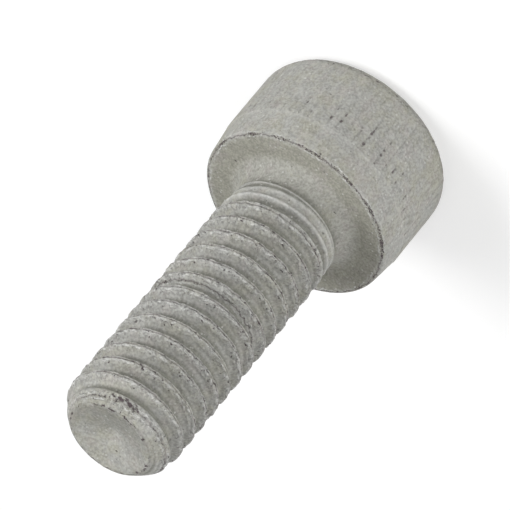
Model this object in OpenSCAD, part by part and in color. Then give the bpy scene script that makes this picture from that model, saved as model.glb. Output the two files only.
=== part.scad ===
// Hex socket head cap screw, M6 coarse thread, 16 mm long, threaded up to the head.
// It stands on its head: the socket opens downwards at z = 0 and the shank points up.
// The origin is the centre of the head's top face, and +Z runs along the screw to its tip.

/* [Head] */
// Diameter of the head over its knurled wall
head_d = 9.8; // [9.2:0.1:10.6]
// Height of the head, from its top face to the bearing face under it
head_h = 5.8; // [5.2:0.1:6.6]
// Height of the rounded shoulder between the wall and the top face
crown_h = 1.0; // [0.8:0.1:1.2]
// Width that the rounded shoulder takes off the top face all round
crown_w = 0.65; // [0.4:0.05:0.8]
// Height of the plain band between the knurling and the bearing face
band_h = 1.6; // [1.2:0.1:2.0]
// Amount that the plain band is drawn in at its lower edge, on the radius
band_taper = 0.14; // [0.06:0.02:0.2]
// Width and height of the bevel between the plain band and the bearing face
rim_bevel = 0.12; // [0.06:0.02:0.2]

/* [Knurling] */
// Number of straight grooves round the head
knurl_count = 64; // [40:1:80]
// Depth of a groove below the head's wall
knurl_depth = 0.1; // [0.06:0.01:0.14]
// Length that each groove runs on below the knurled wall, into the plain band
knurl_overrun = 0.12; // [0.06:0.02:0.2]

/* [Socket] */
// Width of the hexagon across its flats
socket_s = 5; // [4:0.1:5.6]
// Depth of the six flats below the top face
socket_t = 3.0; // [2.4:0.1:3.4]
// Depth of the shallow cone at the socket's floor
socket_floor = 0.4; // [0.2:0.1:0.6]
// Width of the bevel at the hexagon's mouth, beyond its corners
mouth_bevel = 0.1; // [0.05:0.05:0.3]

/* [Thread] */
// Outer diameter over the thread's crests
thread_d = 5.85; // [5.2:0.05:6.4]
// Pitch, the rise of the thread in one turn
pitch = 1.0; // [0.75:0.05:1.25]
// Width of a full crest, as a share of the pitch
crest_w = 0.19; // [0.12:0.01:0.22]
// Depth of the fold that rolling leaves along the middle of a crest
fold_h = 0.03; // [0.02:0.005:0.05]
// Length of the shank, from the bearing face to the tip
shank_l = 16; // [8:1:20]
// Depth of the plain neck under the head below the thread's crests
neck_drop = 0.26; // [0.2:0.02:0.34]
// Radius of the fillet between the bearing face and the neck
fillet_r = 0.9; // [0.6:0.05:1.1]
// Length over which the thread grows from the neck to its full depth
runout_l = 2.4; // [1.6:0.1:3.2]

/* [Tip] */
// Length of the chamfer at the tip
point_l = 1.1; // [0.8:0.1:1.5]
// Width of the chamfer at the tip, on the radius
point_w = 0.83; // [0.65:0.01:1]
// Amount that the chamfer bulges: 0 makes it a plain cone
point_bulge = 0.35; // [0:0.05:0.5]
// Width of the flat rim round the hollow in the end face
dish_rim = 0.16; // [0.1:0.02:0.4]
// Slope of the hollow's wall, in degrees
dish_slope = 16; // [8:1:20]

/* [Hidden] */
ROUND = 64;         // flats in the full circle of a turned surface
ARC_STEPS = 6;      // chords in the rounded shoulder and in the fillet
TURN_STEPS = 40;    // columns of the threaded rod's surface in one turn
ROW_GAP = 0.03;     // least height between the thread's rows and a plain ring
TIE = 0.001;        // places of rows that differ by less count as equal
head_r = head_d / 2;
crest_r = thread_d / 2;
neck_r = crest_r - neck_drop;
point_r = crest_r - point_w;
tip_z = head_h + shank_l;

// The knurled wall stands slightly proud of the plain band below it
band_drop = 0.03;
band_r = head_r - band_drop;
band_foot_r = band_r - band_taper;

// The rounded shoulder is one arc, tangent to the wall, that meets the top face at an edge
crown_r = (crown_w * crown_w + crown_h * crown_h) / (2 * crown_w);
crown_sweep = asin(crown_h / crown_r);

// The fillet is one arc, tangent to the neck, that meets the bearing face at a soft edge
fillet_edge = 15;
fillet_h = fillet_r * cos(fillet_edge);
neck_z = head_h + fillet_h;

// The threaded rod is let into the core of the fillet, and is a hair thinner than the neck.
// A small step in the neck marks where the thread-rolling dies begin.
rod_sink = 0.3;
rod_step = 0.01;
rod_low = neck_z - rod_sink;
rod_neck_r = neck_r - rod_step;
lip_z = neck_z + 0.1;
lip_h = 0.14;

// The flat rim of the end face is rounded into the chamfer
tip_round = 0.06;

// Points along an arc with centre c and radius r, from angle a to angle b
function arc(c, r, a, b, n = ARC_STEPS) =
    [for (i = [0:n]) let (t = a + (b - a) * i / n) [c[0] + r * cos(t), c[1] + r * sin(t)]];

// Smooth step from 0 to 1
function ease(x) = let (t = min(1, max(0, x))) t * t * (3 - 2 * t);

// Half section of the head with its fillet, which is turned round the Z axis
function head_profile() = concat(
    [[0, 0]],
    arc([head_r - crown_r, crown_h], crown_r, -crown_sweep, 0),
    [[head_r, head_h - band_h], [band_r, head_h - band_h]],
    [[band_foot_r, head_h - rim_bevel], [band_foot_r - rim_bevel, head_h]],
    arc([neck_r + fillet_r, neck_z], fillet_r, -90 - fillet_edge, -180),
    [[0, neck_z]]);

// Profile of a 60 degree thread of pitch 1. Each point has a place along the pitch, a depth below
// the crest, and a side. First come the crest's two edges with the fold between them, then the
// root in two slopes that stands for its round bottom. A crest's edges, with a side of -1 or 1,
// move apart where the crest is wide, and the fold has a side of 0.
ROOT_W = 1 / 4;
ROOT_ROUND = 0.0721;
MAX_SPREAD = 0.25;
flank_depth = (1 - crest_w - ROOT_W) / 2 * sqrt(3);
root_depth = flank_depth + ROOT_ROUND;
root_place = (1 + crest_w) / 2;
thread_points = [
    [0, 0, -1], [crest_w / 2, 0, 0], [crest_w, 0, 1],
    [root_place - ROOT_W / 2, flank_depth, 0], [root_place, root_depth, 0],
    [root_place + ROOT_W / 2, flank_depth, 0]];

// How far the thread has grown at height z, from 0 at the neck to 1 at its full depth
function growth(z) = min(1, max(0, (z - neck_z) / runout_l));

// Radius that the crests have reached at height z
function cap_r(z) = let (g = growth(z)) rod_neck_r + (crest_r - rod_neck_r) * g * (2 - g);

// Amount by which the dies, and so the roots and flanks, stand off at height z. At the neck the
// dies only just miss the rod's surface.
START_GAP = 0.1;
function die_lift(z) = (root_depth * pitch - neck_drop + START_GAP) * (1 - ease(growth(z)));

// Amount by which a crest's edge moves outwards at height z: flanks that stand off meet the lower
// crest further from its middle
function spread(z) = min(MAX_SPREAD * pitch, (crest_r + die_lift(z) - cap_r(z)) / sqrt(3));

// Radius of the bulging chamfer at height z
function chamfer_r(z) = let (s = (tip_z - z) / point_l)
    point_r + point_w * (s > 1 ? s : s * (1 + point_bulge * (1 - s)));

// Radius of the threaded rod at height z, for a point of the profile: the lowest of the growing
// crest, the die's surface and the chamfer
function rod_r(z, p) = let (
    fold = p[1] == 0 && p[2] == 0 ? fold_h * ease(growth(z) * 4) : 0,
    die = crest_r - p[1] * pitch + die_lift(z))
    min(cap_r(z) - fold, die, chamfer_r(z));

// One column of the rod's surface, from its lower end face to its upper one, at step i round the
// axis. Each point is [radius, height, place]. Plain rings start and end it. Between them, points
// of one place form a row that climbs one pitch in a turn. The rings' places are far apart, so
// that they keep their order across the seam.
turns = ceil((tip_z - rod_low) / pitch);
start_rings = [
    [rod_neck_r, rod_low, -30 * pitch],
    [rod_neck_r, lip_z, -20 * pitch],
    [cap_r(lip_z + lip_h), lip_z + lip_h, -10 * pitch]];
end_rings = [
    [chamfer_r(tip_z - tip_round), tip_z - tip_round, (turns + 10) * pitch],
    [point_r, tip_z, (turns + 20) * pitch]];
rows_low = lip_z + lip_h + ROW_GAP;
rows_high = tip_z - tip_round - ROW_GAP;
function column(i) = concat(
    start_rings,
    [for (t = [-1:turns], p = thread_points)
        let (
            place = (t + p[0]) * pitch,
            middle = rod_low + place + pitch * i / TURN_STEPS,
            z = middle + p[2] * spread(middle))
        if (z > rows_low && z < rows_high) [rod_r(z, p), z, place]],
    end_rings);

// Triangles between neighbouring columns a and b, whose points are numbered from a0 and b0.
// Of the two next points, the one whose row comes first is joined on first. Across the seam,
// where the last column meets the first, the rows of b count one pitch lower.
function web(a, b, a0, b0, seam, i = 0, j = 0) = let (
    a_done = i == len(a) - 1,
    b_done = j == len(b) - 1)
    a_done && b_done ? [] : let (
    step_a = b_done || (!a_done && a[i + 1][2] < b[j + 1][2] - seam + TIE))
    concat(
        [step_a ? [a0 + i, a0 + i + 1, b0 + j] : [a0 + i, b0 + j + 1, b0 + j]],
        web(a, b, a0, b0, seam, step_a ? i + 1 : i, step_a ? j : j + 1));

// Running totals of a list: the number of the first point of each column, and of the one past the end
function totals(v, i = 0, s = 0) = i == len(v) ? [s] : concat([s], totals(v, i + 1, s + v[i]));

// The shank's threaded rod is one closed surface: columns of points, joined by webs, and two end faces
module threaded_rod() {
    last = TURN_STEPS - 1;
    columns = [for (i = [0:last]) column(i)];
    first = totals([for (c = columns) len(c)]);
    points = [for (i = [0:last], q = columns[i])
        let (t = 360 * i / TURN_STEPS) [q[0] * cos(t), q[0] * sin(t), q[1]]];
    webs = [for (i = [0:last]) let (n = i == last ? 0 : i + 1)
        each web(columns[i], columns[n], first[i], first[n], i == last ? pitch : 0)];
    lower_face = [for (i = [0:last]) first[i]];
    upper_face = [for (i = [last:-1:0]) first[i + 1] - 1];
    polyhedron(points, concat(webs, [lower_face, upper_face]));
}

// Straight knurling: a ring of square-cornered grooves that run out into the rounded shoulder
module knurl_grooves() {
    bottom_r = head_r - knurl_depth;
    side = 2 * knurl_depth;
    for (i = [0:knurl_count - 1])
        rotate(360 * i / knurl_count)
            translate([bottom_r, 0, 0])
                rotate(-45)
                    cube([side, side, head_h - band_h + knurl_overrun]);
}

// The hexagon for the key, with a bevelled mouth and a shallow cone as its floor
module hex_socket() {
    flat_r = socket_s / 2;
    corner_r = socket_s / sqrt(3);
    mouth_r = corner_r + mouth_bevel;
    below = 0.5;
    translate([0, 0, -below]) {
        cylinder(h = socket_t + below, r = corner_r, $fn = 6);
        cylinder(h = mouth_r + below - flat_r, r1 = mouth_r + below, r2 = flat_r, $fn = ROUND);
    }
    translate([0, 0, socket_t])
        cylinder(h = socket_floor, r1 = flat_r, r2 = 0, $fn = ROUND);
}

// The hollow that thread rolling leaves in the end face: a wide cone with a round bottom
module end_dish() {
    edge_r = point_r - dish_rim;
    bottom_r = 1.2;
    above = 0.5;
    touch_r = bottom_r * sin(dish_slope);
    touch_z = tip_z - (edge_r - touch_r) * tan(dish_slope);
    centre_z = touch_z + bottom_r * cos(dish_slope);
    rotate_extrude($fn = ROUND)
        polygon(concat(
            arc([0, centre_z], bottom_r, -90, -90 + dish_slope, 3),
            [[edge_r + above / tan(dish_slope), tip_z + above], [0, tip_z + above]]));
}

module cap_screw() {
    color("#989891")
        difference() {
            union() {
                difference() {
                    rotate_extrude($fn = ROUND) polygon(head_profile());
                    knurl_grooves();
                    hex_socket();
                }
                threaded_rod();
            }
            end_dish();
        }
}

cap_screw();
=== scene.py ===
# %% [markdown]
# A hex socket cap screw under a matte metal-flake coating.
#
# The real screw is one piece of steel. A die forges the head and punches the hexagon, two more dies roll
# the thread, and the whole screw is then dipped in a grey coating full of metal flakes. Here it is one
# closed surface as well. Numbers are in millimetres and become metres once, when the mesh is made.

# %% Load the frame
import math

import bpy
import numpy as np
from mathutils import Matrix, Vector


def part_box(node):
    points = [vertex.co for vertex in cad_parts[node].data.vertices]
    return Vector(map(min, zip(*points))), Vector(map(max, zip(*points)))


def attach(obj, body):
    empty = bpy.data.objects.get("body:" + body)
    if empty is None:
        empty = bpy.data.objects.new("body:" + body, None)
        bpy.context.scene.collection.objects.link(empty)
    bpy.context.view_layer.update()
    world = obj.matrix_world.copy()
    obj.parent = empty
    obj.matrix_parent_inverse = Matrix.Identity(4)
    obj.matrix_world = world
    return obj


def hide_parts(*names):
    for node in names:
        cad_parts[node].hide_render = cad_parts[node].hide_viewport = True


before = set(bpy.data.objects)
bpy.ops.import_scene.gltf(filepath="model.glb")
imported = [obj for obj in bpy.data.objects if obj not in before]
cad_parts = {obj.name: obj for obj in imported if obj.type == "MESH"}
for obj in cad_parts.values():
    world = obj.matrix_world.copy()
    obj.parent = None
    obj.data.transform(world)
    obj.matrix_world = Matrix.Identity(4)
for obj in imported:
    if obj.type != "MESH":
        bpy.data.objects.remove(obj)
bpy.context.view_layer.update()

MM = 0.001
node_low, node_high = (np.array(corner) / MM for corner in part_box("cap_screw"))
print("node cap_screw, mm:", node_low.round(3), node_high.round(3))

# %% [markdown]
# The sizes of the screw. The overall height comes from the frame. The rest are those of an M6 cap screw as
# measured, a little under the nominal ones. The head stands on the floor, so z runs from the head's top face
# up to the tip. Where a name ends in a single letter, R is a radius, H a height or depth, L a length along
# the axis, W a width and Z a height above the floor. TURN is the side of the screw that faces the camera, in
# degrees round it, and uneven wear is placed from there.

# %% Sizes of the screw
TURN = 331
TIP_Z = float(node_high[2])
HEAD_R, HEAD_H = 4.9, 5.8
CROWN_H, CROWN_W = 1.0, 0.65
BAND_H, BAND_DROP, BAND_TAPER, RIM_BEVEL = 1.6, 0.03, 0.14, 0.12
KNURLS, KNURL_DEPTH, KNURL_OVERRUN = 64, 0.1, 0.12
SOCKET_W, SOCKET_H, SOCKET_CONE_H, MOUTH_BEVEL = 5.0, 3.0, 0.4, 0.1
CREST_R, PITCH, CREST_W, FOLD_H = 2.925, 1.0, 0.19, 0.03
NECK_DROP, FILLET_R, FILLET_EDGE, RUNOUT_L = 0.26, 0.9, 15, 2.4
POINT_L, POINT_W, POINT_BULGE = 1.1, 0.83, 0.35
DISH_RIM, DISH_SLOPE, DISH_BOTTOM_R = 0.16, 16, 0.5
BAND_Z = HEAD_H - BAND_H
BAND_R = HEAD_R - BAND_DROP
RIM_R = BAND_R - BAND_TAPER - RIM_BEVEL
NECK_R = CREST_R - NECK_DROP
NECK_Z = HEAD_H + FILLET_R * math.cos(math.radians(FILLET_EDGE))
LIP_Z, LIP_H = NECK_Z + 0.1, 0.14
POINT_R = CREST_R - POINT_W
DISH_R = POINT_R - DISH_RIM
face_r = NECK_R + FILLET_R * (1 - math.sin(math.radians(FILLET_EDGE)))
print("bearing face from radius", round(face_r, 2), "to", round(RIM_R, 2))

# %% [markdown]
# The surface is a net of rings and columns. The head has a multiple of both 64 and 6 columns, so that each
# knurl and each corner of the hexagon lies on one. The shank has half as many. A few curves serve again and
# again: a smooth step, a bell, and the smaller of two shapes with the corner between them rounded.

# %% Columns and curves
HEAD_COLUMNS = KNURLS * 6
SHANK_COLUMNS = HEAD_COLUMNS // 2
HEAD_TURN = 2 * np.pi * np.arange(HEAD_COLUMNS) / HEAD_COLUMNS
SHANK_TURN = 2 * np.pi * np.arange(SHANK_COLUMNS) / SHANK_COLUMNS
print("columns:", HEAD_COLUMNS, "round the head,", SHANK_COLUMNS, "round the shank")


def ease(x):
    """Smooth step: 3 x^2 - 2 x^3 for x held between 0 and 1."""
    x = np.clip(x, 0, 1)
    return x * x * (3 - 2 * x)


def bell(x, width):
    """Bell curve, 1 where x is 0: e to the power of minus (x / width)^2."""
    return np.exp(-((x / width) ** 2))


def soft_min(a, b, width):
    """Smaller of two values with the corner rounded: (a + b - root of ((a - b)^2 + width^2)) / 2. It lies
    half the width below them where they are equal, and all but touches the smaller one further away."""
    return (a + b - np.sqrt((a - b) ** 2 + width**2)) / 2


def degrees_from(side, turn):
    """Angle, from -180 to 180 degrees, between each column and a side, which is itself given in degrees
    from the side that faces the camera."""
    return (np.degrees(turn) - TURN - side + 180) % 360 - 180


# %% [markdown]
# The head is a stack of rings. Each ring is a row of radii and heights, one for every column, so a ring can
# be round, a hexagon or knurled. Cutting the socket and the grooves out of a cylinder would leave long thin
# faces, and a stack of rings leaves none. The first rings lead from the middle of the socket's floor down
# its walls to the mouth. Wherever the real head has an edge, rings close beside it keep it crisp.

# %% Rings of the socket
CORNER_ROUND, CORNER_SOFT, CORNER_LOSS = 0.04, 0.02, 0.0002
WALL_FOOT_Z = SOCKET_H - 0.12


def ring(r, z):
    """One ring as an array of [radius, height] for each column of the head."""
    return np.stack(np.broadcast_arrays(r, z, HEAD_TURN)[:2], axis=-1).astype(float)


def hexagon(across):
    """Radius of a hexagon: half the width across its flats over the cosine of the angle from the middle of
    the nearest flat, with each corner rounded a little. CORNER_LOSS is what that takes off the flats, and
    it is put back."""
    from_flat = (HEAD_TURN % (np.pi / 3)) - np.pi / 6
    corner = across / math.sqrt(3) - CORNER_ROUND
    return soft_min(across / 2 / np.cos(from_flat), corner, CORNER_SOFT) + CORNER_LOSS


def socket_rings():
    """Floor cone, hexagon walls and the 45 degree bevel at the mouth. The bevel is a cone with the radius
    mouth_r - z, so it meets the wall at the height mouth_r - wall."""
    flat_r = SOCKET_W / 2
    wall = hexagon(SOCKET_W)
    mouth_r = SOCKET_W / math.sqrt(3) + MOUTH_BEVEL
    bevel_z = mouth_r - wall
    rings = [ring(flat_r * f, SOCKET_H + SOCKET_CONE_H * (1 - f)) for f in (0.04, 0.25, 0.5, 0.75, 0.95)]
    rings += [ring(wall * 0.985, SOCKET_H + 0.02), ring(wall * 0.995, SOCKET_H - 0.03)]
    rings.append(ring(wall, WALL_FOOT_Z))
    rings += [ring(wall, bevel_z + (WALL_FOOT_Z - bevel_z) * f) for f in (0.8, 0.6, 0.4, 0.2, 0.08)]
    rings += [ring(wall, bevel_z + 0.01), ring(wall + 0.015, bevel_z - 0.01)]
    rings += [ring(mouth_r - 0.015, 0.02), ring(mouth_r + 0.02, 0.0)]
    return rings


socket = socket_rings()
print("socket:", len(socket), "rings of", HEAD_COLUMNS)

# %% [markdown]
# The knurl. A toothed die presses V grooves into the real head, and the coat then fills most of their depth.
# Some are worn open again towards the plain band. A bump texture could draw the grooves, but real ones also
# shape the outline and catch the light at every angle, so the wall's radius follows them.

# %% Knurled wall
COAT_OPEN, WORN_OPEN = 0.35, 0.35
WORN_L, WORN_FADE_L = 1.8, 1.4
GROOVE_SLOPE, GROOVE_RAMP_L = 0.95, 0.15
KNURL_Z = BAND_Z + KNURL_OVERRUN
groove_columns = HEAD_COLUMNS // KNURLS
groove_worn = np.random.default_rng(7).uniform(0, 1, KNURLS).repeat(groove_columns)
groove_worn = np.roll(groove_worn, -groove_columns // 2)


def knurl(z):
    """Radius of the knurled wall at height z: V grooves, KNURL_DEPTH less GROOVE_SLOPE for each millimetre
    from the middle. The coat leaves the share COAT_OPEN of that depth, and up to WORN_OPEN more in worn
    grooves near the plain band. Each groove ends in a short ramp at the band."""
    tooth = 2 * np.pi / KNURLS
    across = np.abs((HEAD_TURN + tooth / 2) % tooth - tooth / 2) * HEAD_R
    unfilled = COAT_OPEN + WORN_OPEN * groove_worn * ease((z - KNURL_Z + WORN_L) / WORN_FADE_L)
    depth = np.maximum(KNURL_DEPTH - across * GROOVE_SLOPE, 0) * unfilled
    return HEAD_R - depth * ease((KNURL_Z - z) / GROOVE_RAMP_L)


print("knurl:", KNURLS, "grooves, open", COAT_OPEN, "to", round(COAT_OPEN + groove_worn.max() * WORN_OPEN, 2))

# %% [markdown]
# The rest of the head: the flat top round the socket, the rounded shoulder, the knurled wall, the step down
# to the plain band, the bevel at the rim, and the bearing face in to the foot of the fillet.

# %% Rings of the head
TOP_FACE_R = 3.2


def shoulder_rings():
    """Top face, and an arc CROWN_W wide and CROWN_H high that runs upright into the wall. Its radius is
    (CROWN_W^2 + CROWN_H^2) / (2 CROWN_W)."""
    arc_r = (CROWN_W**2 + CROWN_H**2) / (2 * CROWN_W)
    sweep = math.asin(CROWN_H / arc_r)
    rings = [ring(r, 0.0) for r in np.linspace(TOP_FACE_R, HEAD_R - CROWN_W - 0.05, 5)]
    for f in np.linspace(0.04, 1, 13):
        angle = -sweep * (1 - f)
        z = CROWN_H + arc_r * math.sin(angle)
        shoulder = HEAD_R - arc_r + arc_r * math.cos(angle)
        rings.append(ring(soft_min(shoulder, knurl(z) + 0.004, 0.015), z))
    return rings


def wall_rings():
    """Knurled wall, step, tapering band, bevel and bearing face."""
    bevel_z = HEAD_H - RIM_BEVEL
    rings = [ring(knurl(z), z) for z in np.linspace(CROWN_H, BAND_Z - 0.03, 13)[1:]]
    for z in (BAND_Z + 0.01, BAND_Z + 0.05, BAND_Z + 0.09, KNURL_Z):
        rings.append(ring(np.minimum(knurl(z), BAND_R), z))
    for f in np.linspace(0, 1, 7)[1:]:
        rings.append(ring(BAND_R - BAND_TAPER * f, KNURL_Z + (bevel_z - BAND_Z - KNURL_OVERRUN) * f))
    rings += [ring(RIM_R + RIM_BEVEL * f, HEAD_H - RIM_BEVEL * f) for f in (0.85, 0.5, 0.15)]
    rings.append(ring(RIM_R - 0.03, HEAD_H))
    rings += [ring(r, HEAD_H) for r in np.linspace(RIM_R - 0.12, NECK_R + FILLET_R, 5)]
    return rings


head_rings = np.array(socket + shoulder_rings() + wall_rings())
print("head:", len(head_rings), "rings of", HEAD_COLUMNS)

# %% [markdown]
# The thread. Its rows climb one pitch in a turn, so that every row keeps its place on the thread's profile
# and the crests stay sharp. Rolling presses the roots in and squeezes the metal up into crests. Two lips
# rise along each crest, and a fold stays between them. Near the head the dies don't reach full depth: the
# first crest is low and wide, and its lips stand apart.

# %% Profile of the thread
ROOT_W, ROOT_ROUND = 0.25, 0.1443
FLANK = math.sqrt(3)
ROOT_DEPTH = (1 - CREST_W - ROOT_W) / 2 * FLANK + ROOT_ROUND / 2
START_GAP, MAX_SPREAD = 0.1, 0.25
FOLD_SHARE, FIRST_FOLD, FOLD_START = 0.38, 3.5, 4
CORNER_WIDTH = 0.05


def die_depth(x):
    """Depth below the crest, for a pitch of 1, of the die's surface at distance x from the crest's middle.
    A flank falls by root 3 for each unit from the crest's edge, down to a round root, the arc of radius
    ROOT_ROUND that it touches."""
    x = np.abs((x + 0.5) % 1 - 0.5)
    flank = FLANK * (x - CREST_W / 2)
    inside = np.clip(ROOT_ROUND**2 - (0.5 - x) ** 2, 0, None)
    root = np.where(x > 0.5 - ROOT_W / 2, ROOT_DEPTH - ROOT_ROUND + np.sqrt(inside), np.inf)
    return np.minimum(flank, root)


def growth(z):
    """How far the thread has grown at height z, from 0 at the neck to 1 at its full depth."""
    return np.clip((z - NECK_Z) / RUNOUT_L, 0, 1)


def cap_radius(z):
    """Radius that the crests have reached at height z: it grows as g (2 - g)."""
    g = growth(z)
    return NECK_R + (CREST_R - NECK_R) * g * (2 - g)


def die_lift(z):
    """Amount by which the dies stand off at height z. At the neck they only just miss the surface."""
    return (ROOT_DEPTH * PITCH - NECK_DROP + START_GAP) * (1 - ease(growth(z)))


def crest_half(z):
    """Half the width of the crest, for a pitch of 1. Where the flanks stand off, they meet the lower crest
    further out."""
    spread = (CREST_R + die_lift(z) - cap_radius(z)) / FLANK
    return CREST_W / 2 + np.minimum(spread, MAX_SPREAD)


def shank_radius(z, x):
    """Radius at height z and distance x from the crest's middle: the least of the crest less its fold, the
    die's surface and the bulging chamfer, with the corners between them rounded. The fold is a bell across
    the crest, FOLD_H deep on the full thread and 1 + FIRST_FOLD times as deep at its start."""
    x = np.abs((x + 0.5) % 1 - 0.5)
    fold_depth = FOLD_H * (1 + FIRST_FOLD * (1 - growth(z)))
    fold = fold_depth * bell(x / crest_half(z), FOLD_SHARE) * ease(growth(z) * FOLD_START)
    die = CREST_R - die_depth(x) * PITCH + die_lift(z)
    from_tip = (TIP_Z - z) / POINT_L
    bulging = from_tip * (1 + POINT_BULGE * (1 - from_tip))
    chamfer = POINT_R + POINT_W * np.where(from_tip > 1, from_tip, bulging)
    return soft_min(soft_min(cap_radius(z) - fold, die, CORNER_WIDTH), chamfer, CORNER_WIDTH)


first_crest_w = 2 * float(crest_half(NECK_Z)) * PITCH
print("thread:", round(ROOT_DEPTH * PITCH, 3), "mm deep, first crest", round(first_crest_w, 2), "mm wide")

# %% [markdown]
# The shank's surface is a grid of rows and columns on that helix, with more rows on the crests than in the
# roots. Where a crest is wide its rows spread apart. Where a row would pass below the first plain ring or
# above the last one, its points all become the point of that ring, and the faces between them vanish.
# Nothing is left open, because the two ends are then plain rings.

# %% Grid of the shank
THREAD_LOW_Z, THREAD_HIGH_Z = LIP_Z + LIP_H, TIP_Z - 0.12
END_GAP = 0.02
START_Z = NECK_Z - 0.3 + CREST_W / 2 * PITCH
HALF_ROWS = np.array([0.025, 0.05, 0.075, 0.1, 0.135, 0.19, 0.26, 0.33, 0.4, 0.46])
PROFILE_ROWS = np.concatenate([[0], HALF_ROWS, [0.5], 1 - HALF_ROWS[::-1]])
ROWS = len(PROFILE_ROWS)
turns = int(math.ceil((THREAD_HIGH_Z - START_Z) / PITCH)) + 1
row_place = (np.arange(-2, turns)[:, None] + PROFILE_ROWS[None, :]).reshape(-1, 1)
column_climb = (np.arange(SHANK_COLUMNS) / SHANK_COLUMNS)[None, :]
plain_z = START_Z + (row_place + column_climb) * PITCH
half_crest = crest_half(plain_z)
away = (row_place + 0.5) % 1 - 0.5
inner = np.abs(away) * half_crest / (CREST_W / 2)
outer = half_crest + (np.abs(away) - CREST_W / 2) * (0.5 - half_crest) / (0.5 - CREST_W / 2)
from_crest = np.sign(away) * np.where(np.abs(away) < CREST_W / 2, inner, outer)
row_z = plain_z + (from_crest - away) * PITCH
row_r = shank_radius(row_z, from_crest)
is_low, is_high = row_z < THREAD_LOW_Z + END_GAP, row_z > THREAD_HIGH_Z - END_GAP
print("shank:", len(row_z), "rows of", SHANK_COLUMNS, "columns,", int((~is_low & ~is_high).sum()), "points")

# %% [markdown]
# Everything is now put together: points as radius, angle and height, with seven marks that tell the coating
# where it is. "thread" is on the full thread and "spread" on its wide start. "rim" is on the edges where the
# coat chips off. The painted shade mark is in the knurl's grooves, on the shoulder, in the neck's groove and
# on one side of the dish, where the coat is darkened as painted shade. "seat" is on the bearing face and the
# fillet, which are tinted olive and darkened as painted shade. "pits" is in the knurl's grooves. "step" is on
# the small ledge at the plain band and on the thread's first lip, which are lightened, partly as rubbed wear
# and partly as a painted highlight.

# %% Points and faces
MARKS = ("thread", "rim", "hollow", "seat", "spread", "pits", "step")
points, faces = [], []


def add_points(r, turn, z, **given):
    """Adds points and returns their numbers, in the shape of r. A mark that isn't given is 0."""
    values = [given.get(mark, 0) for mark in MARKS]
    block = np.stack(np.broadcast_arrays(r, turn, z, *values), axis=-1)
    start = sum(len(earlier) for earlier in points)
    points.append(block.reshape(-1, block.shape[-1]))
    return start + np.arange(block[..., 0].size).reshape(block.shape[:-1])


def add_squares(a, b, c, d):
    """Two triangles for each square with the corners a, b, c and d, in that order round it. A triangle with
    two equal corners is left out."""
    both = np.concatenate([np.stack([a, b, c], -1).reshape(-1, 3), np.stack([a, c, d], -1).reshape(-1, 3)])
    first, second, third = both.T
    faces.append(both[(first != second) & (second != third) & (first != third)])


def add_belt(lower, upper):
    """Faces between two rows of point numbers that close round the screw."""
    add_squares(lower, np.roll(lower, -1), np.roll(upper, -1), upper)


def add_pole(row, pole):
    """Fan of faces from a closing row to one point on the axis."""
    faces.append(np.stack([row, np.roll(row, -1), np.full_like(row, pole)], -1))


print("marks:", ", ".join(MARKS))

# %% [markdown]
# The head's points come straight from its rings. Knocks and wear aren't the same all round: the knurl's pits
# are deepest on the side PIT_SIDE, in degrees from the side that faces the camera.

# %% Head
PIT_SIDE, PIT_SPREAD, PIT_FADE_L = -12, 30, 1.2
DEEPEST_GROOVE = COAT_OPEN + WORN_OPEN
SHOULDER_Z, SHOULDER_WEAR_AND_SHADE_W = 0.45, 0.3
STEP_W = 0.06
socket_pole = add_points(np.zeros(1), 0, SOCKET_H + SOCKET_CONE_H)[0]
head_r, head_z = head_rings[..., 0], head_rings[..., 1]
on_wall = (head_r > HEAD_R - 0.3) & (head_z > 0.3)
groove = np.where(on_wall, (head_r.max(axis=1, keepdims=True) - head_r) / KNURL_DEPTH / DEEPEST_GROOVE, 0)
pit_side = 0.5 + 0.7 * bell(degrees_from(PIT_SIDE, HEAD_TURN), PIT_SPREAD)
near_band = ease((head_z - HEAD_H + BAND_H + WORN_L) / PIT_FADE_L)
pit_share = pit_side * (0.5 + 0.5 * near_band * ease(groove_worn * 2))
pit_mark = np.clip(1.5 * groove * pit_share, 0, 1)
# The shoulder faces the floor: it is chipped, and also darkened as painted shade. The knurl's grooves are
# darkened as painted shade. The ledge at the band is lightened, partly as rubbed wear and partly as a painted
# highlight, and the bearing face is tinted olive and darkened as painted shade.
shoulder_mark = bell(head_z - SHOULDER_Z, SHOULDER_WEAR_AND_SHADE_W) * (head_r > HEAD_R - 0.9)
step_mark = bell(head_z - HEAD_H + BAND_H - 0.1, STEP_W) * (head_r > RIM_R)
seat_mark = ease((head_z - HEAD_H + 0.1) / 0.1) * ease((RIM_R - head_r) / 0.2)
head_ids = add_points(head_r, HEAD_TURN[None, :], head_z, rim=0.75 * shoulder_mark,
                      hollow=np.maximum(groove * 0.3, shoulder_mark * 0.25),
                      seat=seat_mark, pits=pit_mark, step=step_mark)
add_pole(head_ids[0][::-1], socket_pole)
for below, above in zip(head_ids[:-1], head_ids[1:]):
    add_belt(below, above)
print("head:", head_ids.size, "points")

# %% [markdown]
# The fillet and the neck are one profile turned round the axis. The neck has a fine groove where the rolling
# dies began, and the thread's first lip stands a little out beyond it. The fillet has half as many columns as
# the head, so three triangles join each of its columns to two of the bearing face.

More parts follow.
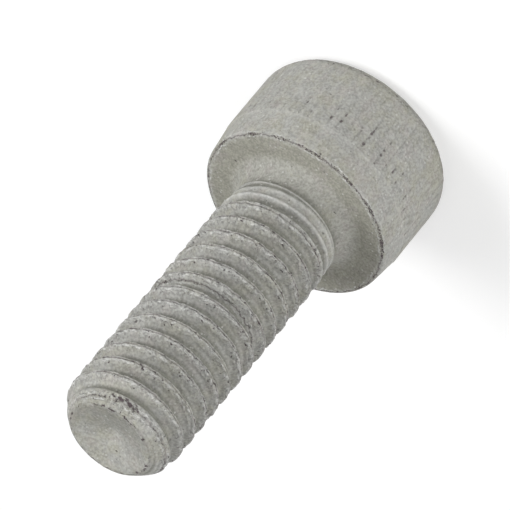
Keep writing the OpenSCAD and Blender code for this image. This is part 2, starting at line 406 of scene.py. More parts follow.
# %% Neck
NECK_GROOVE, LIP_PROUD = 0.05, 0.045
fillet_angle = np.radians(np.linspace(-90 - FILLET_EDGE, -180, 9))
fillet_line = np.stack([NECK_R + FILLET_R + FILLET_R * np.cos(fillet_angle),
                        NECK_Z + FILLET_R * np.sin(fillet_angle)], axis=-1)
lip_out, lip_up = np.array([(0, 0), (0.15, 0.2), (0.55, 0.4), (0.88, 0.65), (1, 1)]).T
lip_line = np.stack([NECK_R + (float(cap_radius(THREAD_LOW_Z)) - NECK_R) * lip_out,
                     LIP_Z - 0.02 + (LIP_H + 0.02) * lip_up], axis=-1)
fillet_line[-1, 0] -= NECK_GROOVE
lip_line[0, 0] -= NECK_GROOVE
lip_line[-3:, 0] += LIP_PROUD
neck_line = np.concatenate([fillet_line, lip_line])
neck_r, neck_z = neck_line[:, :1], neck_line[:, 1:]
# The groove under the first lip is darkened as a painted shadow. The lip is lightened, partly as rubbed wear
# and partly as a painted highlight. The fillet is tinted olive and darkened as painted shade.
neck_shadow_mark = 0.9 * bell(neck_z - LIP_Z + 0.1, 0.16)
lip_mark = 2 * bell(neck_z - LIP_Z - 0.1, STEP_W)
fillet_mark = (0.4 + 0.45 * ease((neck_r - NECK_R - 0.35) / 0.5)) * (neck_z < LIP_Z)
neck_ids = add_points(neck_r, SHANK_TURN[None, :], neck_z,
                      hollow=neck_shadow_mark, seat=fillet_mark, step=lip_mark)
for below, above in zip(neck_ids[:-1], neck_ids[1:]):
    add_belt(below, above)

fine, coarse = head_ids[-1], neck_ids[0]
even, odd, next_even = fine[0::2], fine[1::2], np.roll(fine[0::2], -1)
next_coarse = np.roll(coarse, -1)
faces += [np.stack([even, odd, coarse], -1), np.stack([odd, next_coarse, coarse], -1),
          np.stack([odd, next_even, next_coarse], -1)]
print("neck:", neck_ids.size, "points")

# %% [markdown]
# The thread's grid closes on itself one pitch further up: a row's last column meets the first column of the
# row that is one whole profile later. The last crest is knocked and chipped, and most on KNOCK_SIDE.

# %% Thread
KNOCK_SIDE, KNOCK_SPREAD = 12, 28
LAST_CREST_Z, LAST_CREST_L = TIP_Z - 0.6, 0.3
thread_mark = ease((growth(row_z) - 0.35) / 0.3)
knocked_side = 0.45 + 1.2 * bell(degrees_from(KNOCK_SIDE, SHANK_TURN), KNOCK_SPREAD)
crest_mark = bell(row_z - LAST_CREST_Z, LAST_CREST_L) * bell(from_crest, 0.2) * knocked_side
spread_mark = (half_crest - CREST_W / 2) / MAX_SPREAD * ease((growth(row_z) - 0.04) / 0.05)
own_ids = add_points(row_r, SHANK_TURN[None, :], row_z,
                     thread=thread_mark, rim=crest_mark, spread=spread_mark)
high_ids = add_points(np.full(SHANK_COLUMNS, shank_radius(THREAD_HIGH_Z, 0)), SHANK_TURN, THREAD_HIGH_Z)
grid = np.where(is_low, neck_ids[-1][None, :], np.where(is_high, high_ids[None, :], own_ids))
closed = np.concatenate([grid, grid[:, :1]], axis=1)
closed[:-ROWS, -1] = grid[ROWS:, 0]
closed[-ROWS:, -1] = high_ids[0]
add_squares(closed[:-1, :-1], closed[:-1, 1:], closed[1:, 1:], closed[1:, :-1])
print("thread:", len(faces[-1]), "faces")

# %% [markdown]
# The tip. The real end face is hollow, because rolling draws the skin of the metal past its middle. The
# profile runs over the chipped edge, down the dish's slope and through its round bottom to the axis. One
# side of the dish is darkened as painted shade, which fades out near the middle.

# %% Tip
DISH_SHADE_SIDE, DISH_SHADE_SHARE, DISH_SHADE_CLEAR_R = 25, 0.7, 0.3
EDGE_WEAR = 1.1
slope = math.radians(DISH_SLOPE)
touch_r = DISH_BOTTOM_R * math.sin(slope)
dish_h = (DISH_R - touch_r) * math.tan(slope) + DISH_BOTTOM_R * (1 - math.cos(slope))
tip_line = [
    (POINT_R + 0.03, TIP_Z - 0.05, 0.3),
    (POINT_R - 0.01, TIP_Z - 0.012, 0.7),
    (POINT_R - 0.07, TIP_Z, 0.8),
    (DISH_R + 0.03, TIP_Z - 0.003, 0.5),
]
for f in (0.97, 0.88, 0.76, 0.64, 0.52, 0.4):
    tip_line.append((DISH_R * f, TIP_Z - DISH_R * (1 - f) * math.tan(slope), 0.0))
for f in (1.0, 0.7, 0.4, 0.12):
    bottom_z = TIP_Z - dish_h + DISH_BOTTOM_R * (1 - math.cos(slope * f))
    tip_line.append((DISH_BOTTOM_R * math.sin(slope * f), bottom_z, 0.0))
# Painted shade, strongest on one side of the dish.
dish_shade = DISH_SHADE_SHARE * (0.5 + 0.5 * np.cos(SHANK_TURN - math.radians(TURN + DISH_SHADE_SIDE)))
last_ids = high_ids
for tip_r, tip_z, wear in tip_line:
    dish_shade_mark = dish_shade * (tip_r < DISH_R) * min(tip_r / DISH_SHADE_CLEAR_R, 1)
    around = np.full(SHANK_COLUMNS, tip_r)
    tip_ids = add_points(around, SHANK_TURN, tip_z, rim=wear * EDGE_WEAR, hollow=dish_shade_mark)
    add_belt(last_ids, tip_ids)
    last_ids = tip_ids
add_pole(last_ids, add_points(np.zeros(1), 0, TIP_Z - dish_h)[0])
print("tip:", len(tip_line), "rings, dish", round(dish_h, 2), "mm deep")

# %% [markdown]
# All blocks become one table of points and one of faces, and points that no face uses are dropped. On a
# closed surface each edge belongs to exactly two faces, so the edges that don't are counted. The volume is
# a sixth of the sum, over the faces, of first corner dot (second cross third), and it is positive when the
# faces point outwards.

# %% Closed surface
table = np.concatenate(points)
tris = np.concatenate(faces)
used = np.unique(tris)
new_number = np.full(len(table), -1)
new_number[used] = np.arange(len(used))
table, tris = table[used], new_number[tris]
marks = dict(zip(MARKS, table[:, 3:].T))
point_r, point_turn, point_z = table[:, 0], table[:, 1], table[:, 2]
forged = np.stack([point_r * np.cos(point_turn), point_r * np.sin(point_turn), point_z], -1)
first, second, third = (forged[tris[:, corner]] for corner in range(3))
volume = np.einsum("ij,ij->i", first, np.cross(second, third)).sum() / 6
edges = np.sort(np.concatenate([tris[:, [0, 1]], tris[:, [1, 2]], tris[:, [2, 0]]]), axis=1)
uses = np.unique(edges, axis=0, return_counts=True)[1]
print("triangles", len(tris), "volume mm3", round(float(volume), 1), "open edges", int((uses != 2).sum()))

# %% [markdown]
# The dipped coat isn't smooth: it is slightly lumpy, the rolled crests are ragged, and knocks have nicked the
# rims. Noise worked out on a lattice moves each point inwards along its normal, so the screw never grows.

# %% Lumps and nicks
SCRAMBLE, SEED_SCRAMBLE, LAST_SCRAMBLE = (73856093, 19349663, 83492791), 2654435761, 1274126177
LUMP_H, LUMP_W, SMALL_LUMP_H, SMALL_LUMP_W = 0.012, 0.45, 0.01, 0.16
FLAKE_H, FLAKE_W, SMALL_FLAKE_H, SMALL_FLAKE_W = 0.035, 0.24, 0.025, 0.12
CREST_REACH, CREST_FADE, NICK_W = 0.32, 0.14, 0.08


def lattice_noise(places, cell, seed):
    """Smooth noise from 0 to 1. Each corner of a lattice with the cell size given has a random value, taken
    from a scrambled whole number, and the values of the eight corners round a point are blended."""
    scaled = places / cell
    base = np.floor(scaled).astype(np.int64)
    blend = ease(scaled - base)
    total = np.zeros(len(places))
    for corner in np.ndindex(2, 2, 2):
        at = (base + corner) * SCRAMBLE
        key = at[:, 0] ^ at[:, 1] ^ at[:, 2] ^ (seed * SEED_SCRAMBLE)
        key = (key ^ (key >> 13)) * LAST_SCRAMBLE & 0xFFFFFFFF
        value = ((key ^ (key >> 16)) & 0xFFFF) / 0xFFFF
        weight = np.prod(np.where(corner, blend, 1 - blend), axis=1)
        total += weight * value
    return total


def point_normals(places, corners):
    """Sum of the normals of the faces round each point, each as long as its face is large, and then made
    one unit long."""
    first, second, third = (places[corners[:, corner]] for corner in range(3))
    face = np.cross(second - first, third - first)
    sums = [np.bincount(corners.ravel(), np.repeat(part, 3), len(places)) for part in face.T]
    normal = np.stack(sums, -1)
    return normal / np.linalg.norm(normal, axis=1, keepdims=True)


climbed = (point_z - START_Z) / PITCH - point_turn / (2 * np.pi)
over_crest = ease((CREST_REACH - np.abs((climbed + 0.5) % 1 - 0.5)) / CREST_FADE) * marks["thread"]
at_rim = bell(point_r - RIM_R + HEAD_H - point_z - 0.05, NICK_W) * (point_r > RIM_R - 0.5)
rough = np.maximum(over_crest, np.maximum(np.minimum(marks["rim"], 1), at_rim))
rough = np.maximum(rough, 0.5 * marks["spread"])
lumps = LUMP_H * lattice_noise(forged, LUMP_W, 1) + SMALL_LUMP_H * lattice_noise(forged, SMALL_LUMP_W, 2)
flaked = FLAKE_H * ease((lattice_noise(forged, FLAKE_W, 3) - 0.5) / 0.2)
flaked = flaked + SMALL_FLAKE_H * lattice_noise(forged, SMALL_FLAKE_W, 4)
inward = lumps + flaked * rough
coated = forged - point_normals(forged, tris) * inward[:, None]
coated[:, 2] = np.clip(coated[:, 2], 0, TIP_Z)
print("moved inwards, mm: mean", round(float(inward.mean()), 4), "most", round(float(inward.max()), 3))

# %% [markdown]
# The mesh gets its points, its faces and the seven marks. Smooth shading suits the forged and rolled surface,
# and the few real edges have rings close beside them that keep them crisp.

# %% Mesh
mesh = bpy.data.meshes.new("cap_screw_coated")
mesh.vertices.add(len(coated))
mesh.vertices.foreach_set("co", (coated * MM).ravel())
mesh.loops.add(3 * len(tris))
mesh.loops.foreach_set("vertex_index", tris.ravel().astype(np.int32))
mesh.polygons.add(len(tris))
mesh.polygons.foreach_set("loop_start", np.arange(0, 3 * len(tris), 3, dtype=np.int32))
mesh.polygons.foreach_set("use_smooth", np.ones(len(tris), dtype=bool))
for name, values in marks.items():
    mesh.attributes.new(name, "FLOAT", "POINT").data.foreach_set("value", values.astype(np.float32))
mesh.update()
mesh.validate()
screw = bpy.data.objects.new("cap_screw_coated", mesh)
bpy.context.scene.collection.objects.link(screw)
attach(screw, "root")
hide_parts("cap_screw")
print("piece", screw.name, len(mesh.vertices), "points", len(mesh.polygons), "faces")

# %% [markdown]
# Materials are trees of nodes, and a finish like this one takes over a hundred of them. A small class with
# short method names keeps the trees readable. Effects that come more than once are node groups: "Flake
# grain", "Chipped edge", "Thread place" and "Worn line". Each is given the place in millimetres and a few
# numbers, and puts out numbers that vary over the surface.

# %% Helpers for nodes
class Nodes:
    """Makes and joins the nodes of one tree. A value given for a socket is a number, a colour or the output
    of another node, and each method returns the output of what it made."""

    def __init__(self, tree):
        self.tree = tree

    def put(self, socket, value):
        if isinstance(value, bpy.types.NodeSocket):
            self.tree.links.new(value, socket)
        elif value is not None:
            socket.default_value = value

    def math(self, operation, first, second=None, clamp=False):
        node = self.tree.nodes.new("ShaderNodeMath")
        node.operation, node.use_clamp = operation, clamp
        self.put(node.inputs[0], first)
        self.put(node.inputs[1], second)
        return node.outputs[0]

    def add(self, first, second):
        return self.math("ADD", first, second)

    def minus(self, first, second):
        return self.math("SUBTRACT", first, second)

    def times(self, first, second):
        return self.math("MULTIPLY", first, second)

    def over(self, first, second):
        return self.math("DIVIDE", first, second)

    def absolute(self, value):
        return self.math("ABSOLUTE", value)

    def largest(self, *values):
        best = values[0]
        for value in values[1:]:
            best = self.math("MAXIMUM", best, value)
        return best

    def vector(self, operation, value, which, factor):
        """Changes a vector by a factor that goes to the socket named or numbered by which."""
        node = self.tree.nodes.new("ShaderNodeVectorMath")
        node.operation = operation
        self.put(node.inputs[0], value)
        self.put(node.inputs[which], factor)
        return node.outputs[0]

    def scale(self, vector, factor):
        return self.vector("SCALE", vector, "Scale", factor)

    def stretch(self, vector, factors):
        return self.vector("MULTIPLY", vector, 1, factors)

    def noise(self, vector, scale, detail, roughness):
        node = self.tree.nodes.new("ShaderNodeTexNoise")
        settings = {"Vector": vector, "Scale": scale, "Detail": detail, "Roughness": roughness}
        for name, value in settings.items():
            self.put(node.inputs[name], value)
        return node.outputs["Fac"]

    def cells(self, vector, scale):
        """Distance from the middle of the nearest cell, and a random colour for each cell."""
        node = self.tree.nodes.new("ShaderNodeTexVoronoi")
        self.put(node.inputs["Vector"], vector)
        self.put(node.inputs["Scale"], scale)
        return node.outputs["Distance"], node.outputs["Color"]

    def red(self, colour):
        node = self.tree.nodes.new("ShaderNodeSeparateColor")
        self.put(node.inputs[0], colour)
        return node.outputs[0]

    def span(self, value, low, high, to_low=0.0, to_high=1.0):
        """Goes smoothly from to_low, where the value is low, to to_high, where it is high."""
        node = self.tree.nodes.new("ShaderNodeMapRange")
        node.interpolation_type = "SMOOTHSTEP"
        for socket, number in zip(node.inputs, (value, low, high, to_low, to_high)):
            self.put(socket, number)
        return node.outputs[0]

    def between(self, factor, at_0, at_1):
        return self.span(factor, 0.0, 1.0, at_0, at_1)

    def mix(self, factor, first, second, blend="MIX"):
        """Mixes two colours. A Mix node has sockets for every kind of data: 6, 7 and 2 are for colours."""
        node = self.tree.nodes.new("ShaderNodeMix")
        node.data_type, node.blend_type = "RGBA", blend
        self.put(node.inputs[0], factor)
        self.put(node.inputs[6], first)
        self.put(node.inputs[7], second)
        return node.outputs[2]

    def group(self, group, **values):
        node = self.tree.nodes.new("ShaderNodeGroup")
        node.node_tree = group
        for name, value in values.items():
            self.put(node.inputs[name.replace("_", " ")], value)
        return node.outputs

    def mark(self, name):
        node = self.tree.nodes.new("ShaderNodeAttribute")
        node.attribute_name = name
        return node.outputs["Fac"]

    def in_view(self):
        """1 for rays that the camera sees, also in reflections and through glass, and 0 for rays of light."""
        path = self.tree.nodes.new("ShaderNodeLightPath")
        seen = [path.outputs[f"Is {kind} Ray"] for kind in ("Camera", "Glossy", "Transmission")]
        return self.largest(*seen)


def new_group(name, numbers, results):
    """A shader node group that is given a vector, Place, and named numbers with their usual values, and puts
    out named numbers. Returns the group, its nodes, what it is given and where its results go."""
    group = bpy.data.node_groups.new(name, "ShaderNodeTree")
    group.interface.new_socket("Place", in_out="INPUT", socket_type="NodeSocketVector")
    for number, usual in numbers.items():
        socket = group.interface.new_socket(number, in_out="INPUT", socket_type="NodeSocketFloat")
        socket.default_value = usual
    for result in results:
        group.interface.new_socket(result, in_out="OUTPUT", socket_type="NodeSocketFloat")
    given, ends = group.nodes.new("NodeGroupInput"), group.nodes.new("NodeGroupOutput")
    print("node group", name + ":", ", ".join(results))
    return group, Nodes(group), given.outputs, ends.inputs


# %% [markdown]
# "Flake grain" is the fine speckle of the metal flakes in the coat: mostly noise of the size given, with some
# broader noise. Here and there a flake lies flat: one cell in about ten, near its middle. There the coat is
# smoother and a little higher, and its colour gets a painted glint.

# %% Flake grain
FINE_SHARE, BROAD_SHARE = 0.7, 0.3
grain_group, grain, grain_in, grain_out = new_group(
    "Flake grain", {"Size": 0.07}, ["Speckle", "Sparkle", "Height"])
per_mm = grain.over(1.0, grain_in["Size"])
fine_speck = grain.noise(grain_in["Place"], per_mm, 2.0, 0.6)
broad_speck = grain.noise(grain_in["Place"], grain.times(per_mm, 0.3), 3.0, 0.6)
speckle = grain.add(grain.times(fine_speck, FINE_SHARE), grain.times(broad_speck, BROAD_SHARE))
flake_distance, flake_tint = grain.cells(grain_in["Place"], grain.times(per_mm, 0.8))
flake = grain.times(grain.span(grain.red(flake_tint), 0.86, 0.97), grain.span(flake_distance, 0.45, 0.2))
grain.put(grain_out["Speckle"], speckle)
grain.put(grain_out["Sparkle"], flake)
grain.put(grain_out["Height"], grain.add(speckle, grain.times(flake, 0.15)))

# %% [markdown]
# "Chipped edge" finds where the coat has come off and shows dark metal. A chip is where noise rises over a
# threshold, and the nearer an edge, the more the noise is raised.

# %% Chipped edge
CHIP_THRESHOLD, EDGE_GAIN, CHIP_FADE = 0.685, 0.2, 0.09
chip_group, chip, chip_in, chip_out = new_group("Chipped edge", {"Edge": 0.0, "Size": 0.12}, ["Chip"])
chip_scale = chip.over(1.0, chip_in["Size"])
fine_chip = chip.noise(chip.stretch(chip_in["Place"], (1, 1, 1.8)), chip_scale, 3.0, 0.6)
broad_chip = chip.noise(chip_in["Place"], chip.times(chip_scale, 0.18), 2.0, 0.5)
chip_noise = chip.add(chip.times(fine_chip, 0.9), chip.times(broad_chip, 0.1))
raised = chip.add(chip_noise, chip.times(chip_in["Edge"], EDGE_GAIN))
chip.put(chip_out["Chip"], chip.span(chip.minus(raised, CHIP_THRESHOLD), 0.0, CHIP_FADE))

# %% [markdown]
# Two more groups draw the worn lines. "Thread place" follows the thread in the object's own coordinates and
# gives the distance up or down from the middle of the nearest crest, in pitches. It also gives the distance
# from the cone through the rim of the bearing face, and puts the socket out of that rim's reach. "Worn line"
# turns such a distance into a dark fold with a bright lip on each side, shaken by noise so that the lines
# waver. Its lips are torn into lengths, unless Whole keeps them in one piece.

# %% Worn lines
OUT_OF_REACH = 10.0
FOLD_W, LIP_W, WHOLE_LIP_W = 0.06, 0.06, 0.2
place_group, helix, helix_in, helix_out = new_group("Thread place", {}, ["From crest", "From rim"])
axes = place_group.nodes.new("ShaderNodeSeparateXYZ")
helix.put(axes.inputs[0], helix_in["Place"])
x_place, y_place, z_place = axes.outputs
turned = helix.over(helix.math("ARCTAN2", y_place, x_place), 2 * math.pi)
pitches = helix.minus(helix.over(helix.minus(z_place, START_Z), PITCH), turned)
helix.put(helix_out["From crest"], helix.minus(helix.math("FRACT", helix.add(pitches, 0.5)), 0.5))
radius = helix.math("SQRT", helix.add(helix.times(x_place, x_place), helix.times(y_place, y_place)))
from_cone = helix.add(helix.minus(radius, RIM_R), helix.minus(HEAD_H, z_place))
in_socket = helix.math("LESS_THAN", radius, RIM_R - 0.5)
helix.put(helix_out["From rim"], helix.add(from_cone, helix.times(in_socket, OUT_OF_REACH)))

line_group, line, line_in, line_out = new_group(
    "Worn line", {"Distance": 0.0, "Waver": 0.2, "Lip distance": 0.1, "Whole": 0.0}, ["Fold", "Lip"])
shake = line.minus(line.noise(line_in["Place"], 3.0, 3.0, 0.65), 0.5)
from_fold = line.absolute(line.add(line_in["Distance"], line.times(shake, line_in["Waver"])))
from_lip = line.absolute(line.minus(from_fold, line_in["Lip distance"]))
lip_width = line.add(LIP_W, line.times(line_in["Whole"], WHOLE_LIP_W))
torn = line.span(line.noise(line_in["Place"], 3.3, 3.0, 0.7), 0.42, 0.55)
line.put(line_out["Fold"], line.span(from_fold, FOLD_W, 0.0))
lip = line.times(line.span(from_lip, lip_width, 0.0), line.largest(line_in["Whole"], torn))
line.put(line_out["Lip"], lip)

# %% [markdown]
# The coating's wear comes before its colours. The folds and lips run along the thread and round the rim of
# the bearing face. The rim is knocked in stretches: there its lips are bright and it is chipped, and
# elsewhere it is a thin dark line. The thread's roots are marked here for painted shade, and the lips are
# lightened partly as rubbed wear and partly as a painted highlight.

# %% Wear along the thread and the rim
CREST_SPAN, ROOT_SPAN, RIM_SPAN, KNOCK_SPAN = (0.32, 0.18), (0.31, 0.44), (0.2, 0.04), (0.4, 0.62)
coating = bpy.data.materials.new("flake_coated_steel")
coating.use_nodes = True
coat = Nodes(coating.node_tree)
coords = coating.node_tree.nodes.new("ShaderNodeTexCoord")
in_mm = coat.scale(coords.outputs["Object"], 1 / MM)
thread, rim, hollow, seat, spread, pits, step = (coat.mark(name) for name in MARKS)
places = coat.group(place_group, Place=in_mm)
crest_distance = places["From crest"]
thread_line = coat.group(line_group, Place=in_mm, Distance=crest_distance, Waver=0.22,
                         Lip_distance=coat.add(0.1, coat.times(spread, 0.18)), Whole=coat.times(spread, 0.6))
lined = coat.largest(thread, coat.span(spread, 0.0, 0.4))
fold = coat.times(thread_line["Fold"], thread)
crest = coat.times(thread, coat.span(coat.absolute(crest_distance), *CREST_SPAN))
# Painted shade in the thread's roots.
root = coat.times(lined, coat.span(coat.absolute(crest_distance), *ROOT_SPAN))
thread_lips = coat.times(thread_line["Lip"], coat.times(lined, coat.between(spread, 1.0, 0.7)))

rim_distance = coat.minus(places["From rim"], 0.04)
rim_line = coat.group(line_group, Place=in_mm, Distance=coat.times(rim_distance, 0.8), Waver=0.35,
                      Lip_distance=0.13)
knocks = coat.span(coat.noise(in_mm, 1.2, 2.0, 0.6), *KNOCK_SPAN)
rim_fold = coat.times(rim_line["Fold"], coat.between(knocks, 0.7, 0.35))
rim_lips = coat.times(rim_line["Lip"], coat.between(knocks, 0.25, 1.2))
rim_zone = coat.span(coat.absolute(rim_distance), *RIM_SPAN)
rim_zone = coat.times(rim_zone, coat.between(knocks, 0.62, 1.15))
step_lips = coat.times(step, coat.between(knocks, 0.08, 0.3))
# Lightening of the lips: partly rubbed wear, partly a painted highlight.
bright = coat.largest(thread_lips, rim_lips, step_lips)
print("wear of", coating.name, "so far:", len(coating.node_tree.nodes), "nodes")

# %% [markdown]
# Chips are most on the last crest and the rims, fewer along the folds and crests, and rare elsewhere. Pits
# lie in the knurl's grooves: each is the middle of a cell that is lower than it is wide. On the crests and
# in scattered patches the coat is blistered, and fine cracks run where noise passes through its middle value.

# %% Chips, pits and cracks
CHIP_SIZE, RIM_CHIP_SIZE = 0.21, 0.1
PLAIN_EDGE, CREST_EDGE, FOLD_EDGE, KNOCKED_EDGE = 0.14, 0.42, 0.85, 0.9
PIT_CELLS, PIT_DARK, CRACK_W = (1.6, 1.6, 4.0), 0.85, 0.018
edge = coat.largest(coat.times(fold, FOLD_EDGE), PLAIN_EDGE, coat.times(crest, CREST_EDGE),
                    coat.times(rim, KNOCKED_EDGE))
chips = coat.group(chip_group, Place=in_mm, Edge=edge, Size=CHIP_SIZE)["Chip"]
rim_chips = coat.group(chip_group, Place=in_mm, Edge=rim_zone, Size=RIM_CHIP_SIZE)["Chip"]
pit_distance, pit_tint = coat.cells(coat.stretch(in_mm, PIT_CELLS), 1.0)
pit = coat.times(coat.span(pit_distance, 0.5, 0.25), coat.span(pit_tint, 0.22, 0.5))
pit = coat.times(pit, coat.span(pits, 0.25, 0.7))
bare = coat.largest(chips, rim_chips, coat.times(pit, PIT_DARK))
patches = coat.span(coat.noise(in_mm, 1.1, 3.0, 0.6), 0.52, 0.66)
blistered = coat.math("ADD", coat.times(patches, 0.4), coat.largest(crest, rim), clamp=True)
from_vein = coat.absolute(coat.minus(coat.noise(in_mm, 4.0, 3.0, 0.6), 0.5))
crack = coat.times(coat.span(from_vein, CRACK_W, 0.0), blistered)
print("wear of", coating.name, "in all:", len(coating.node_tree.nodes), "nodes")

# %% [markdown]
# The coat's colours are laid over one another. Two greys lie in soft clouds, one neutral and one a little
# olive, and smaller clouds are warmer. They read mirrored coordinates, so that they don't follow the first
# clouds. The coat is a little lighter on the thread. Painted shade darkens it in the thread's roots, the
# knurl's grooves, on the shoulder, in the neck's groove, on one side of the dish, and on the bearing face and
# fillet.
# The speckle breaks it up, flat flakes get a painted glint, the lips are lightened partly as rubbed wear and
# partly as a painted highlight, and folds, cracks, chips and pits show dark metal.

# %% Colours of the coat
NEUTRAL = (0.37, 0.37, 0.348, 1)
OLIVE = (0.36, 0.355, 0.305, 1)
WARM = (0.39, 0.366, 0.345, 1)
SHADE_TONE = (0.17, 0.17, 0.145, 1)
RUBBED_AND_HIGHLIGHT = (0.70, 0.70, 0.68, 1)
BARE = (0.105, 0.085, 0.088, 1)
CLOUD_SPAN, WARM_SPAN, WARM_SHARE, MIRRORED = (0.42, 0.62), (0.5, 0.62), 0.5, (1, -1, 1)
THREAD_LIGHT, HOLLOW_DARK, SEAT_DARK, FOLD_DARK, CRACK_DARK = 0.13, 0.7, 0.3, 0.4, 0.42
SPARKLE_LIGHT, LIP_LIGHT = 0.4, 0.75
GRAIN_SIZE, DARK_SPECK, LIGHT_SPECK = 0.12, 0.78, 1.22
speckles = coat.group(grain_group, Place=in_mm, Size=GRAIN_SIZE)
cloud = coat.span(coat.noise(in_mm, 0.6, 6.0, 0.75), *CLOUD_SPAN)
warm_cloud = coat.span(coat.noise(coat.stretch(in_mm, MIRRORED), 1.3, 4.0, 0.7), *WARM_SPAN)
# Painted shade: the thread's roots, the places of the painted shade mark, the bearing face and the fillet are
# darkened towards the shade tone.
recess_shade = coat.times(coat.largest(hollow, root), HOLLOW_DARK)
seat_shade = coat.times(coat.times(seat, seat), SEAT_DARK)
shade = coat.span(speckles["Speckle"], 0.3, 0.7, DARK_SPECK, LIGHT_SPECK)
tone = coat.mix(coat.largest(cloud, seat), NEUTRAL, OLIVE)
tone = coat.mix(coat.times(warm_cloud, WARM_SHARE), tone, WARM)
tone = coat.mix(coat.times(thread, THREAD_LIGHT), tone, RUBBED_AND_HIGHLIGHT)
tone = coat.mix(coat.largest(recess_shade, seat_shade), tone, SHADE_TONE)
tone = coat.mix(1.0, tone, shade, "MULTIPLY")
# Painted glint on flat flakes.
tone = coat.mix(coat.times(speckles["Sparkle"], SPARKLE_LIGHT), tone, RUBBED_AND_HIGHLIGHT)
tone = coat.mix(coat.times(bright, LIP_LIGHT), tone, RUBBED_AND_HIGHLIGHT)
tone = coat.mix(coat.largest(rim_fold, coat.times(fold, FOLD_DARK)), tone, BARE)
tone = coat.mix(coat.times(crack, CRACK_DARK), tone, BARE)
tone = coat.mix(bare, tone, BARE)
shader = coating.node_tree.nodes["Principled BSDF"]
coat.put(shader.inputs["Base Color"], tone)
coat.put(shader.inputs["Roughness"], coat.between(speckles["Sparkle"], 0.65, 0.45))
shader.inputs["Metallic"].default_value = 0.0
shader.inputs["Specular IOR Level"].default_value = 0.15

# %% [markdown]
# Relief that is finer than the mesh is a bump: the grain and the blisters stand up, and so do the rubbed
# lips. Cracks and chips lie lower.

# %% Relief of the coat
RELIEF_H = 0.05
GRAIN_UP, BLISTER_UP, LIP_UP, CRACK_DOWN, CHIP_DOWN = 0.5, 2.0, 0.7, 0.4, 0.8
blisters = coat.times(coat.noise(in_mm, 3.5, 4.0, 0.6), coat.times(blistered, BLISTER_UP))
height = coat.add(coat.times(speckles["Height"], GRAIN_UP), blisters)
height = coat.add(height, coat.times(bright, LIP_UP))
height = coat.minus(height, coat.times(crack, CRACK_DOWN))
height = coat.minus(height, coat.times(bare, CHIP_DOWN))
bump = coating.node_tree.nodes.new("ShaderNodeBump")
bump.inputs["Strength"].default_value = 1.0
bump.inputs["Distance"].default_value = RELIEF_H * MM
coat.put(bump.inputs["Height"], height)
coat.put(shader.inputs["Normal"], bump.outputs["Normal"])
mesh.materials.append(coating)
print("material", coating.name, "has", len(coating.node_tree.nodes), "nodes")

# %% [markdown]
# A pale floor under the head, and nothing else in view. Near the screw it is a matt surface that takes the
# soft shadow, and glows just enough to look white to the camera. Further out it only glows, so that the
# background stays white up to the horizon.

# %% Floor
FLOOR_HALF, NEAR_REACH, FAR_REACH = 0.6, 0.05, 0.13
FLOOR_GREY, FLOOR_GLOW, SEEN_GLOW, FAR_GLOW = 0.6, 0.375, 0.1, 0.8
floor_mesh = bpy.data.meshes.new("floor")
floor_corners = [(x * FLOOR_HALF, y * FLOOR_HALF, 0) for x, y in ((-1, -1), (1, -1), (1, 1), (-1, 1))]
floor_mesh.from_pydata(floor_corners, [], [(0, 1, 2, 3)])
floor = bpy.data.objects.new("floor", floor_mesh)
bpy.context.scene.collection.objects.link(floor)
paint = bpy.data.materials.new("pale_floor")
paint.use_nodes = True
ground = Nodes(paint.node_tree)
surface = paint.node_tree.nodes["Principled BSDF"]
surface.inputs["Roughness"].default_value = 1.0
surface.inputs["Specular IOR Level"].default_value = 0.0
surface.inputs["Emission Color"].default_value = (1, 1, 1, 1)
seen = ground.in_view()
spot = paint.node_tree.nodes.new("ShaderNodeTexCoord")
reach = paint.node_tree.nodes.new("ShaderNodeVectorMath")
reach.operation = "LENGTH"
ground.put(reach.inputs[0], spot.outputs["Object"])
near = ground.span(reach.outputs["Value"], FAR_REACH, NEAR_REACH)
grey = (FLOOR_GREY, FLOOR_GREY, FLOOR_GREY, 1)
ground.put(surface.inputs["Base Color"], ground.mix(near, (0, 0, 0, 1), grey))
near_glow = ground.times(near, ground.add(FLOOR_GLOW, ground.times(seen, SEEN_GLOW)))
far_glow = ground.add(FAR_GLOW, ground.times(seen, 1 - FAR_GLOW))
far_glow = ground.times(ground.minus(1.0, near), far_glow)
ground.put(surface.inputs["Emission Strength"], ground.add(near_glow, far_glow))
floor_mesh.materials.append(paint)
print("floor", 2 * FLOOR_HALF, "m wide")

# %% [markdown]
# The camera stands where the photograph was taken from. A fit of the outline, the rims and the thread's
# crests gave how far the screw leans towards the camera, how it is turned in the picture, how far away the
# camera is and how large a millimetre looks. BEARING_PIXEL is where the middle of the bearing face lies in
# the picture. TURN only chooses which side of the thread is seen.

# %% Camera
LEAN, ROLL, SIDE = math.radians(35.65), math.radians(129.42), math.radians(TURN)
DISTANCE, PIXELS_PER_MM = 383.7, 22.0
PICTURE, SENSOR = 510, 36.0
BEARING_PIXEL = (294.3, 214.1)
toward = np.array([math.cos(SIDE), math.sin(SIDE), 0])
axis = np.array([0, 0, 1.0])
level = np.cross(axis, toward)
upright = math.cos(LEAN) * axis - math.sin(LEAN) * toward
right = math.cos(ROLL) * upright - math.sin(ROLL) * level
down = math.sin(ROLL) * upright + math.cos(ROLL) * level
forward = -math.sin(LEAN) * axis - math.cos(LEAN) * toward
centre = PICTURE / 2
offset = (right * (BEARING_PIXEL[0] - centre) + down * (BEARING_PIXEL[1] - centre)) / PIXELS_PER_MM
eye = HEAD_H * axis - offset - DISTANCE * forward
camera = bpy.data.objects.new("camera", bpy.data.cameras.new("camera"))
camera.data.sensor_width = SENSOR
camera.data.lens = PIXELS_PER_MM * DISTANCE / PICTURE * SENSOR
camera.data.clip_start, camera.data.clip_end = 0.01, 5
bpy.context.scene.collection.objects.link(camera)
camera_axes = np.stack([right, -down, -forward], axis=1)
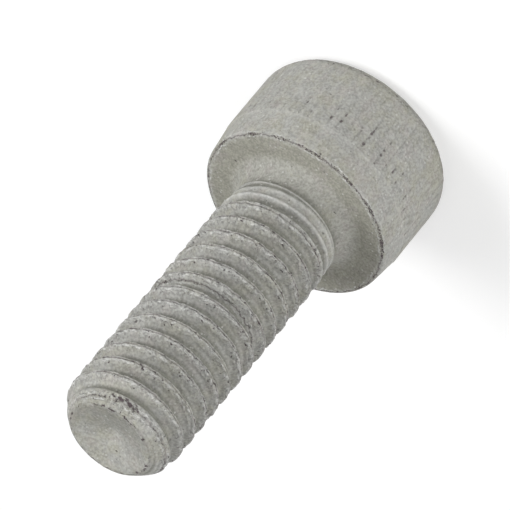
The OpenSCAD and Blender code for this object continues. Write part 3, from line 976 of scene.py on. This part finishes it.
camera.matrix_world = Matrix.LocRotScale(eye * MM, Matrix(camera_axes.tolist()), None)
bpy.context.scene.camera = camera
print("lens", round(camera.data.lens, 1), "mm, camera at", (eye * MM).round(3))

# %% [markdown]
# Soft studio light from wide lamps. The key stands on the left of the picture and gives the shank's soft
# shadow on the bearing face. The others are weaker: one beside the camera, one low on the right, one above.
# The sky fills the shadows a little, and is plain white to the camera.

# %% Light
LAMP_DISTANCE, LAMP_SIZE = 0.4, 0.25
SKY = 0.06


def area_lamp(name, side_angle, height_angle, share):
    """A wide square lamp that shines at the screw's middle. side_angle is measured round the screw from the
    camera's side towards the left of the picture, and height_angle up from the floor. share is the brightness
    that it alone gives a white surface facing it: power is share times pi squared times distance squared."""
    side, up = math.radians(side_angle), math.radians(height_angle)
    direction = math.cos(up) * (math.cos(side) * toward + math.sin(side) * level) + math.sin(up) * axis
    lamp = bpy.data.lights.new(name, "AREA")
    lamp.size = LAMP_SIZE
    lamp.energy = share * math.pi**2 * LAMP_DISTANCE**2
    holder = bpy.data.objects.new(name, lamp)
    bpy.context.scene.collection.objects.link(holder)
    across = np.cross(axis, direction)
    across /= np.linalg.norm(across)
    lamp_axes = np.stack([across, np.cross(direction, across), direction], axis=1)
    lamp_place = axis * TIP_Z / 2 * MM + direction * LAMP_DISTANCE
    holder.matrix_world = Matrix.LocRotScale(lamp_place, Matrix(lamp_axes.tolist()), None)
    print("lamp", name, round(lamp.energy, 2), "W")


area_lamp("key", 90, 45, 0.78)
area_lamp("camera_side", -10, 26, 0.48)
area_lamp("low_right", -90, 20, 0.34)
area_lamp("above", 90, 85, 0.22)

world = bpy.data.worlds.new("studio")
bpy.context.scene.world = world
world.use_nodes = True
air = Nodes(world.node_tree)
sky = world.node_tree.nodes["Background"]
air.put(sky.inputs["Strength"], air.add(SKY, air.times(air.in_view(), 1 - SKY)))
sky.inputs["Color"].default_value = (1, 1, 1, 1)

# %% [markdown]
# The view settings stay plain.

# %% Finish
bpy.context.scene.view_settings.view_transform = "Standard"
